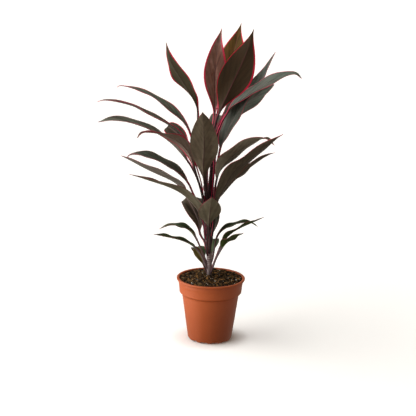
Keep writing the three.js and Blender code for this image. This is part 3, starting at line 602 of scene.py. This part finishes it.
def pot_outline():
    """The pot's section, from the middle of its underside up to its lip and back down its inside."""
    under_lip = POT_HEIGHT - LIP_DEPTH
    return rounded([
        (0, 0, 0),
        (DISC_RADIUS, 0, 0.3),
        (DISC_RADIUS + 1.2, GROOVE_HEIGHT, 0.5),
        (FOOT_INNER - 0.6, GROOVE_HEIGHT, 0.4),
        (FOOT_INNER, 0, 0.3),
        (FOOT_OUTER, 0, 0.3),
        (CORNER_RADIUS, 0.4, 3.6),
        (BODY_TOP_RADIUS, BODY_TOP, 0.8),
        (BODY_TOP_RADIUS + 0.5, BODY_TOP + 3.4, 1.3),
        (COLLAR_LOW_RADIUS - 0.3, COLLAR_LOW - 1, 0.4),
        (COLLAR_LOW_RADIUS, COLLAR_LOW, 0.5),
        (mix(COLLAR_LOW_RADIUS, COLLAR_TOP_RADIUS, 0.5), mix(COLLAR_LOW, under_lip, 0.5), 0.5),
        (COLLAR_TOP_RADIUS - 0.25, under_lip - 6, 0.5),
        (COLLAR_TOP_RADIUS, under_lip - 0.6, 0.5),
        (LIP_RADIUS - 0.4, under_lip, 0.5),
        (LIP_RADIUS, POT_HEIGHT, 1.1),
        (COLLAR_TOP_RADIUS - WALL, POT_HEIGHT, 1),
        (COLLAR_LOW_RADIUS - WALL, COLLAR_LOW + 0.4, 1),
        (BODY_TOP_RADIUS - WALL + 0.3, COLLAR_LOW - 2, 1.5),
        (BODY_TOP_RADIUS - WALL, BODY_TOP, 0.6),
        (CORNER_RADIUS - WALL, GROOVE_HEIGHT + FLOOR_THICKNESS, 3),
        (DISC_RADIUS + 0.4, GROOVE_HEIGHT + FLOOR_THICKNESS, 0.3),
        (DISC_RADIUS - 0.8, FLOOR_THICKNESS, 0.3),
        (0, FLOOR_THICKNESS, 0),
    ])


def cut_notches(form):
    """Raises the foot ring and the corner round it where the notches cross them."""
    pitch = math.tau / NOTCH_COUNT
    half_notch = NOTCH_WIDTH / (FOOT_INNER + FOOT_OUTER)
    for vert in form.verts:
        from_centre = math.atan2(vert.co.y, vert.co.x) % pitch - pitch / 2
        outside_groove = vert.co.xy.length > FOOT_INNER - 0.5
        if outside_groove and vert.co.z < NOTCH_HEIGHT and abs(from_centre) < half_notch:
            vert.co.z = NOTCH_HEIGHT


def drill_drains(pot):
    """Cuts the drain holes through the floor of the pot's groove."""
    form = bmesh.new()
    for hole in range(DRAIN_COUNT):
        turn = Matrix.Rotation(math.tau * hole / DRAIN_COUNT, 4, "Z")
        where = Matrix.Translation(((DISC_RADIUS + FOOT_INNER) / 2 * MM, 0, GROOVE_HEIGHT * MM))
        bmesh.ops.create_cone(form, cap_ends=True, segments=32, radius1=DRAIN_RADIUS * MM,
                              radius2=DRAIN_RADIUS * MM, depth=DRAIN_DEPTH * MM, matrix=turn @ where)
    drains = mesh_object("drains", form)
    cut = pot.modifiers.new("drain_holes", "BOOLEAN")
    cut.object = drains
    bpy.context.view_layer.objects.active = pot
    bpy.ops.object.modifier_apply(modifier=cut.name)
    bpy.data.objects.remove(drains)


def make_pot():
    """The pot, turned from its section, notched round its foot and drilled through its floor."""
    form = turned(pot_outline(), POT_STEPS)
    cut_notches(form)
    pot = make_piece("pot_shell", form, moulded_polypropylene())
    drill_drains(pot)
    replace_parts(pot, "pot")


def soil_height(x, y):
    """The height of the soil's surface: a low mound round the cane, with lumps about 30 and 20 mm across,
    and crumbs of 4 and 1.7 mm."""
    distance = math.hypot(x - CANE_FOOT.x, y - CANE_FOOT.y)
    mound = SOIL_MOUND * math.exp(-((distance / SOIL_SPREAD) ** 2))
    lumps = 0.8 * math.sin(x / 5.3 + 1) * math.cos(y / 4.7) + 0.6 * math.sin(x / 2.9 - y / 3.7 + 2)
    crumbs = 2 * noise.noise(Vector((x, y, 0)) / 4) + 1.1 * noise.noise(Vector((x, y, 9)) / 1.7)
    return SOIL_EDGE + 0.8 + mound + lumps + crumbs


def make_soil_bed():
    """The soil fills the pot."""
    deepest = GROOVE_HEIGHT + FLOOR_THICKNESS + SOIL_GAP
    top = [(SOIL_RADIUS * ring / SOIL_RINGS, POT_HEIGHT) for ring in range(SOIL_RINGS + 1)]
    sides = [
        (COLLAR_LOW_RADIUS - WALL - SOIL_GAP, COLLAR_LOW + 0.6),
        (BODY_TOP_RADIUS - WALL - SOIL_GAP + 0.3, COLLAR_LOW - 2.6),
        (BODY_TOP_RADIUS - WALL - SOIL_GAP, BODY_TOP),
        (FOOT_OUTER + 1.5, deepest),
        (DISC_RADIUS + 0.4, deepest),
        (DISC_RADIUS - 1.1, FLOOR_THICKNESS + SOIL_GAP),
        (0, FLOOR_THICKNESS + SOIL_GAP),
    ]
    form = turned(top + sides, SOIL_STEPS)
    for vert in form.verts:
        if vert.co.z > COLLAR_LOW + 2:
            vert.co.z = soil_height(vert.co.x, vert.co.y)
    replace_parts(make_piece("peat", form, potting_mix()), "soil")


def place_on_soil(draw, clear):
    """A random place on the soil, clear of the pot's wall and of the cane."""
    while True:
        radius = (SOIL_RADIUS - clear) * math.sqrt(draw.random())
        angle = draw.uniform(0, math.tau)
        spot = Vector((radius * math.cos(angle), radius * math.sin(angle), 0))
        if (spot - cane_centre(CANE_FOOT.z)).xy.length > CANE_FOOT_RADIUS + clear / 2:
            spot.z = soil_height(spot.x, spot.y)
            return spot


def scatter(name, material, count, sizes, flatness, seed, subdivisions):
    """Irregular grains, from sizes[0] to sizes[1] mm across, half sunk in the soil. flatness is the range of
    their height for their length. The seed fixes their places and their bumps."""
    slimness = (0.4, 0.9)
    leaning = 0.5
    bumps = 0.35
    draw = random.Random(seed)
    noise.seed_set(seed)
    form = bmesh.new()
    tone = form.verts.layers.float.new("tone")
    for _ in range(count):
        size = mix(*sizes, draw.random() ** 2) / 2
        shape = Matrix.Diagonal((size, size * draw.uniform(*slimness), size * draw.uniform(*flatness), 1))
        lean = Matrix.Rotation(draw.gauss(0, leaning), 4, "X")
        turn = Matrix.Rotation(draw.uniform(0, math.tau), 4, "Z")
        where = Matrix.Translation(place_on_soil(draw, size + 0.6) + Vector((0, 0, size * 0.15)))
        grown = bmesh.ops.create_icosphere(form, subdivisions=subdivisions, radius=1,
                                           matrix=where @ turn @ lean @ shape)["verts"]
        shade = draw.random() ** 4
        for vert in grown:
            vert.co += noise.noise_vector(vert.co / size) * size * bumps
            vert[tone] = shade
    make_piece(name, form, material)


def make_fibres(material):
    """Thin bent strands of root and bark fibre that lie on the soil."""
    draw = random.Random(31)
    form = bmesh.new()
    tone = form.verts.layers.float.new("tone")
    for _ in range(FIBRES):
        length = draw.uniform(*FIBRE_LENGTHS)
        start = place_on_soil(draw, length / 2 + 1)
        heading = draw.uniform(0, math.tau)
        bend = draw.uniform(-0.35, 0.35)
        path = []
        spot = start.copy()
        for step in range(FIBRE_STEPS + 1):
            arch = FIBRE_ARCH * math.sin(math.pi * step / FIBRE_STEPS) * draw.random()
            spot.z = soil_height(spot.x, spot.y) + 0.3 + arch
            path.append(spot.copy())
            heading += bend
            spot += Vector((math.cos(heading), math.sin(heading), 0)) * length / FIBRE_STEPS
        radius = draw.uniform(*FIBRE_RADII)
        shade = draw.random()
        for vert in tube(form, path, [radius] * len(path), FIBRE_SIDES):
            vert[tone] = shade
    make_piece("fibres", form, material)


def cane_centre(height):
    """The cane's axis at a height."""
    share = (height - CANE_FOOT.z) / CANE_LEAN.z
    return Vector((CANE_FOOT.x + CANE_LEAN.x * share, CANE_FOOT.y + CANE_LEAN.y * share, height))


def cane_radius(height):
    return CANE_FOOT_RADIUS - CANE_TAPER * clamp((height - CANE_FOOT.z) / (CANE_TIP - CANE_FOOT.z))


def make_cane():
    """The cane, ringed by the scars of fallen leaves, with a rounded growing tip."""
    form = bmesh.new()
    path = []
    radii = []
    for ring in range(int((CANE_TIP - CANE_LOW) / SCAR_SPACING)):
        height = CANE_LOW + ring * SCAR_SPACING
        for up, inset in ((0, 0), (0.5, SCAR_DEPTH), (1.1, SCAR_DEPTH), (2.3, 0)):
            path.append(cane_centre(height + up))
            radii.append(cane_radius(height + up) - inset)
    for back, share in ((1.2, 0.92), (0.5, 0.72), (0, 0.4)):
        path.append(cane_centre(CANE_TIP - back))
        radii.append(cane_radius(CANE_TIP) * share)
    tube(form, path, radii, CANE_SIDES)
    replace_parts(make_piece("ringed_cane", form, cane_skin()), "cane")


def rib_line(leaf):
    """Close points along a leaf's midrib, on a centripetal Catmull-Rom curve."""
    turn = math.radians(leaf["turn"])
    out = Vector((math.cos(turn), math.sin(turn), 0))
    left = Vector((-out.y, out.x, 0))
    root = cane_centre(leaf["root"])
    points = []
    for distance, height, *aside in ((1, leaf["root"]), *leaf["rib"]):
        points.append(Vector((root.x, root.y, height)) + out * distance + left * sum(aside))
    points = [2 * points[0] - points[1], *points, 2 * points[-1] - points[-2]]
    steps = 30
    line = []
    for before, start, end, after in zip(points, points[1:], points[2:], points[3:]):
        gaps = [math.sqrt((b - a).length) for a, b in ((before, start), (start, end), (end, after))]
        leaving = (start - before) / gaps[0] - (end - before) / (gaps[0] + gaps[1]) + (end - start) / gaps[1]
        arriving = (end - start) / gaps[1] - (after - start) / (gaps[1] + gaps[2]) + (after - end) / gaps[2]
        leaving *= gaps[1]
        arriving *= gaps[1]
        for step in range(steps):
            t = step / steps
            eased = t * t * (3 - 2 * t)
            line.append(start.lerp(end, eased) + leaving * t * (1 - t) ** 2 - arriving * t * t * (1 - t))
    line.append(points[-2])
    return line


def walk(line, stops):
    """The points and directions at the given distances along a line."""
    ways = headings(line)
    places = []
    index = 0
    passed = 0
    for stop in stops:
        while index < len(line) - 2 and passed + (line[index + 1] - line[index]).length < stop:
            passed += (line[index + 1] - line[index]).length
            index += 1
        share = clamp((stop - passed) / (line[index + 1] - line[index]).length)
        places.append((line[index].lerp(line[index + 1], share),
                       ways[index].lerp(ways[index + 1], share).normalized()))
    return places


def outline(along, age):
    """A blade's share of its full width at a place along it, from 0 at its base to 1 at its tip."""
    if not 0 < along < 1:
        return 0
    rise, fall = OUTLINES[age]
    widest = rise / (rise + fall)
    return (along / widest) ** rise * ((1 - along) / (1 - widest)) ** fall


def leaf_measures(leaf, run, length):
    """A leaf's measures at a distance along its midrib: how far along its blade and its petiole that is, its
    share of its full width, and its half width, fold and thickness at the midrib."""
    along = max(0, (run - leaf["stalk"]) / (length - leaf["stalk"]))
    up_stalk = min(1, run / leaf["stalk"])
    spread = outline(along, leaf["age"])
    flare = STALK_FLARE_AT_CANE * (1 - up_stalk) ** 2 + STALK_FLARE_AT_BLADE * smoothstep(up_stalk, 0.6, 1)
    narrow = mix(STALK_HALF_WIDTH + flare, TIP_HALF_WIDTH, along)
    half_width = narrow + (leaf["width"] / 2 - narrow) * spread
    stalk_fold = mix(STALK_FOLD_AT_CANE, STALK_FOLD_AT_BLADE, smoothstep(up_stalk, 0.5, 1))
    blade_fold = leaf["fold"] * (spread + TIP_FOLD * along * (1 - spread))
    fold = math.radians(stalk_fold * (1 - spread) * (1 - along) + blade_fold)
    if along < 0.5:
        middle = mix(STALK_THICKNESS, RIB_THICKNESS, smoothstep(along, 0, 0.5))
    else:
        middle = mix(RIB_THICKNESS, BLADE_THICKNESS, smoothstep(along, 0.5, 1))
    return along, up_stalk, spread, half_width, fold, middle


def leaf_directions(leaf, tangent, along, up_stalk):
    """The directions across a leaf to its left and out of its upper face, at a place on its midrib."""
    turn = math.radians(leaf["turn"])
    left = Vector((-math.sin(turn), math.cos(turn), 0))
    across = (left - tangent * left.dot(tangent)).normalized()
    upward = tangent.cross(across)
    roll = math.radians(mix(*leaf["roll"], along)) * up_stalk**2
    side = across * math.cos(roll) + upward * math.sin(roll)
    normal = upward * math.cos(roll) - across * math.sin(roll)
    return side, normal


def leaf_section(leaf, point, tangent, run, length):
    """The upper and lower points across a leaf at a place on its midrib, and what its tissue reads there."""
    along, up_stalk, spread, half_width, fold, middle = leaf_measures(leaf, run, length)
    side, normal = leaf_directions(leaf, tangent, along, up_stalk)
    is_blade = smoothstep(spread, 0, 0.2)
    crown = CROWN[leaf["age"]] * half_width * spread
    wave = leaf["wave"] * WAVE_HEIGHT * spread * math.sin(math.tau * WAVES * along + leaf["root"])
    soft = min(0.5, CREASE / half_width)
    stalk_edge, *blade_edges = leaf["edge"]
    edge_taper = mix(1, 0.5, along if leaf["age"] else 0) * mix(1, 0.1, smoothstep(along, 0.8, 0.97))

    points = []
    for place in ACROSS:
        reach = abs(place)
        lifted = (math.hypot(place, soft) - soft) / (math.hypot(1, soft) - soft)
        lift = lifted * half_width * math.sin(fold) - crown * reach**2
        rippled = Vector((place * RIPPLES_ACROSS, run / RIPPLE_LENGTH, leaf["root"]))
        ripple = noise.noise(rippled) * RIPPLE_HEIGHT * spread
        here = point + side * place * half_width * math.cos(fold)
        here = here + normal * (lift + wave * place * reach + ripple)
        from_rib = reach * half_width
        rib = math.exp(-((from_rib / RIB_WIDTH) ** 2))
        round_back = mix(STALK_MARGIN, middle, math.sqrt(1 - reach**2))
        thickness = mix(round_back, mix(BLADE_THICKNESS, middle, rib), is_blade)
        lean = place / math.hypot(place, soft)
        facing = (normal * mix(1, math.cos(fold), abs(lean)) - side * math.sin(fold) * lean).normalized()
        groove = RIB_GROOVE * rib * is_blade * (1 - along)
        upper = here + facing * (UPPER_FACE - groove)
        lower = here + facing * (UPPER_FACE - thickness)
        blade_edge = blade_edges[-1 if place > 0 else 0]
        edge = mix(stalk_edge * mix(0.1, 1, up_stalk**2), blade_edge, is_blade) * edge_taper
        reading = Vector(((half_width - from_rib) / edge, from_rib, run))
        points.append((upper, lower, reading, along if along > 0 else up_stalk - 1))
    return points, spread


def make_leaf(leaf, tissue):
    """One leaf, petiole and blade, from a grid for its lower face and a copy of it for its upper."""
    line = rib_line(leaf)
    length = sum((after - before).length for before, after in zip(line, line[1:]))
    stops = [leaf["stalk"] * (row / STALK_ROWS) ** STALK_BUNCHING for row in range(STALK_ROWS)]
    stops += [mix(leaf["stalk"], length, row / BLADE_ROWS) for row in range(BLADE_ROWS + 1)]
    places = zip(stops, walk(line, stops))
    sections = [leaf_section(leaf, point, way, stop, length) for stop, (point, way) in places]

    form = bmesh.new()
    place = form.verts.layers.float_vector.new("place")
    share = form.verts.layers.float_vector.new("share")
    rows = len(stops) - 1
    columns = len(ACROSS) - 1
    lower = bmesh.ops.create_grid(form, x_segments=columns, y_segments=rows, size=1)["verts"]
    region = bmesh.ops.extrude_face_region(form, geom=form.faces[:], use_keep_orig=True)["geom"]
    upper = [part for part in region if isinstance(part, bmesh.types.BMVert)]
    for face, verts in enumerate((lower, upper)):
        for vert in verts:
            points, spread = sections[round((vert.co.y + 1) / 2 * rows)]
            above, below, where, along = points[round((vert.co.x + 1) / 2 * columns)]
            vert.co = above if face else below
            vert[place] = where
            vert[share] = (face, along, spread)
    bmesh.ops.recalc_face_normals(form, faces=form.faces)
    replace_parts(make_piece("ti_leaf_" + leaf["name"], form, tissue), "leaf_" + leaf["name"])


def make_plant():
    """The cane and all its leaves."""
    tissues = {name: leaf_tissue("leaf_" + name, **colours) for name, colours in TISSUES.items()}
    make_cane()
    for leaf in LEAVES:
        make_leaf(leaf, tissues[leaf["tissue"]])


def make_soil():
    """The potting mix: a bed of peat, with dull brown chips of composted bark, which are dark where they are
    moist, pale strands of dry root fibre, and perlite, which is expanded glass, white and chalky."""
    make_soil_bed()
    bark = grains("composted_bark", dark="0f0906", pale="a07440", roughness=0.85, relief_depth=0.3)
    scatter("bark", bark, BARK_CHIPS, sizes=(1.2, 5.5), flatness=(0.3, 0.8), seed=11, subdivisions=1)
    make_fibres(grains("root_fibre", dark="4a3420", pale="a88a5c", roughness=0.8, relief_depth=0.1))
    perlite = grains("perlite", dark="b8b2a4", pale="f4f1e8", roughness=0.9, relief_depth=0.3)
    scatter("perlite", perlite, PERLITE_GRAINS, sizes=(1.2, 2.8), flatness=(0.7, 1), seed=23, subdivisions=2)


def opal_acrylic():
    """A white opal table top that glows, with a painted contact shadow: its glow fades out round the pot."""
    material, tree, shader = new_material("opal_acrylic", {**GLOWING, "Base Color": linear("f4f4f2")})
    spot = add(tree, "TexCoord")["Object"]
    away = add(tree, "VectorMath", {"operation": "LENGTH"}, {0: spot})["Value"]
    # painted shadow: the glow fades to nothing between 72 mm and 36 mm from the pot's axis
    glow_beyond_painted_shadow = add(tree, "MapRange", {"From Min": 36 * MM, "From Max": 72 * MM, "To Max": 0.4}, {"Value": away})
    feed(tree, shader, {"Emission Strength": glow_beyond_painted_shadow["Result"]})
    return material


def stage_piece(name, form, material):
    """A piece of the surroundings, which neither shines on the plant nor shades it."""
    made = mesh_object(name, form, material)
    made.visible_diffuse = False
    made.visible_glossy = False
    made.visible_shadow = False
    return made


def make_stage():
    """A pale table inside an evenly lit tent of white cloth."""
    table = bmesh.new()
    bmesh.ops.create_circle(table, cap_ends=True, segments=96, radius=STAGE_RADIUS)
    tent = bmesh.new()
    bmesh.ops.create_uvsphere(tent, u_segments=64, v_segments=32, radius=STAGE_RADIUS)
    cloth = new_material("white_cloth", {**GLOWING, "Base Color": (0, 0, 0, 1), "Emission Strength": 1})[0]
    stage_piece("floor", table, opal_acrylic())
    stage_piece("backdrop", tent, cloth)


def make_window():
    """Soft daylight from a wide window on the left."""
    window = bpy.data.lights.new("window", "SUN")
    window.energy = 3.9
    window.angle = WINDOW_WIDTH
    window.color = (1, 0.97, 0.93)
    new_object("window", window).rotation_euler = WINDOW_SIDE.to_track_quat("Z", "Y").to_euler()


def make_room_light():
    """The light of the room: pale walls, darker and warmer to the right, and a table that shines up."""
    world = bpy.data.worlds.new("room")
    bpy.context.scene.world = world
    world.use_nodes = True
    tree = world.node_tree
    way = add(tree, "SeparateXYZ", links={0: add(tree, "TexCoord")["Generated"]})
    leftward = add(tree, "MapRange", {"From Min": 0.5, "From Max": -1, "interpolation_type": "SMOOTHSTEP"},
                   {"Value": way["X"]})["Result"]
    walls = add(tree, "MixRGB", {"Color1": RIGHT_WALL_LIGHT, "Color2": LEFT_WALL_LIGHT}, {"Fac": leftward})
    downward = add(tree, "MapRange", {"From Min": 0.05, "From Max": -0.2}, {"Value": way["Z"]})["Result"]
    table = add(tree, "MixRGB", {"Color2": TABLE_LIGHT}, {"Fac": downward, "Color1": walls["Color"]})
    under = add(tree, "MapRange", {"From Min": -0.45, "From Max": -0.85}, {"Value": way["Z"]})["Result"]
    room = add(tree, "MixRGB", {"Color2": LIGHT_BELOW_POT}, {"Fac": under, "Color1": table["Color"]})
    feed(tree, tree.nodes["Background"], {"Color": room["Color"]})


def make_camera():
    """The camera of the photograph: 2 m in front of the pot, looking down at it a little."""
    camera = bpy.data.cameras.new("camera")
    camera.sensor_width = 36
    camera.lens = CAMERA_LENS
    eye = new_object("camera", camera)
    eye.location = CAMERA_PLACE
    pitch = Matrix.Rotation(math.radians(90) - CAMERA_DOWN, 4, "X")
    roll = Matrix.Rotation(CAMERA_ROLL, 4, "Z")
    eye.rotation_euler = (pitch @ roll).to_euler()
    bpy.context.scene.camera = eye
    bpy.context.scene.view_settings.view_transform = "Standard"


make_camera()
make_pot()
make_soil()
make_plant()
make_stage()
make_window()
make_room_light()
